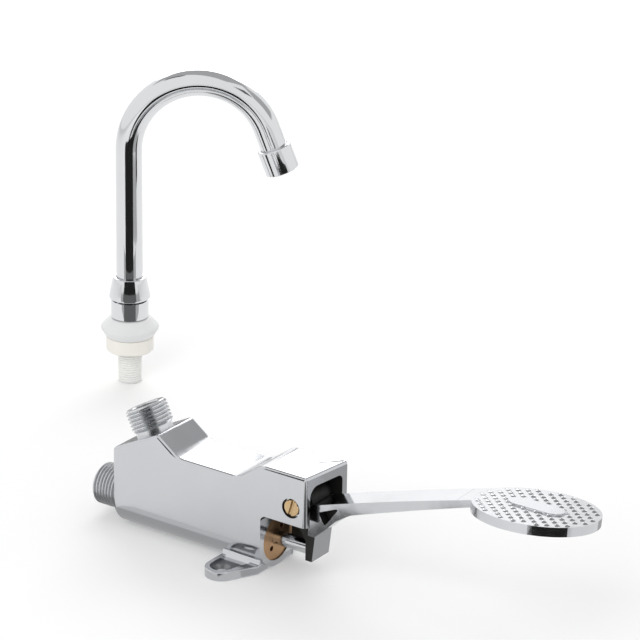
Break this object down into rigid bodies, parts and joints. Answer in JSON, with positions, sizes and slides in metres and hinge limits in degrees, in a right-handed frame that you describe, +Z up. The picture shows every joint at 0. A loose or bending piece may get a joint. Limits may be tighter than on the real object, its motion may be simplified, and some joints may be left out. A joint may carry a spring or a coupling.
{
  "type": "foot pedal tap valve",
  "caption": "Floor-mounted foot valve for a tap: a pedal lever with a round treaded pad pushes a spring-closed plunger, with a separate swivelling swan-neck spout.",
  "frame": {"origin": "midway between the two floor screw holes, on the floor that the ears stand on", "axes": "+X along the barrel toward the pedal, +Y across it, +Z up"},
  "size_m": [0.3841, 0.2251, 0.1768],
  "materials": {
    "chrome": "bright chrome plating on cast brass",
    "nickel": "dull nickel on turned brass",
    "brass": "bare turned brass",
    "rubber": "matt black rubber",
    "steel": "bright steel",
    "nylon": "off-white nylon",
    "black_nylon": "black nylon",
    "clear_plastic": "milky translucent plastic",
    "cream_plastic": "cream plastic",
    "white_plastic": "white plastic"
  },
  "bodies": {
    "valve": {"valve_body": "chrome", "inlet_nipple": "nickel", "outlet_nipple": "chrome", "valve_seat": "brass", "gland_nut": "brass", "gland_gasket": "rubber", "gland_rings": "rubber", "pivot_pin": "brass", "pivot_spacers": "black_nylon", "return_spring": "steel", "swivel_nut": "chrome", "thrust_bush": "nylon", "spout_collar": "chrome", "deck_flange": "clear_plastic", "deck_washer": "cream_plastic", "spout_shank": "white_plastic"},
    "plunger": {"push_rod": "chrome", "spindle": "brass", "disc_holder": "brass", "valve_disc": "rubber", "disc_nut": "brass"},
    "pedal": {"pedal_lever": "chrome", "wear_button": "steel"},
    "spout": {"spout_tube": "chrome", "tube_tail": "brass", "tail_rings": "rubber", "aerator_housing": "chrome", "aerator_insert": "white_plastic", "aerator_washer": "rubber"}
  },
  "joints": [
    {"name": "pedal_press", "type": "hinge", "parent": "valve", "child": "pedal", "pos_m": [0.033, 0, 0.04], "axis": [0, 1, 0], "range_deg": [0, 12], "stiffness_Nm_per_rad": 1.4, "springref_deg": -22.35},
    {"name": "plunger_slide", "type": "slide", "parent": "valve", "child": "plunger", "axis": [-1, 0, 0], "range_m": [0, 0.0055], "deforming": ["return_spring"]},
    {"name": "spout_swivel", "type": "hinge", "parent": "valve", "child": "spout", "pos_m": [-0.182, 0.138, 0.06], "axis": [0, 0, 1], "continuous": true}
  ],
  "couplings": [
    {"joint": "plunger_slide", "follows": "pedal_press", "m_per_rad": 0.02606}
  ]
}
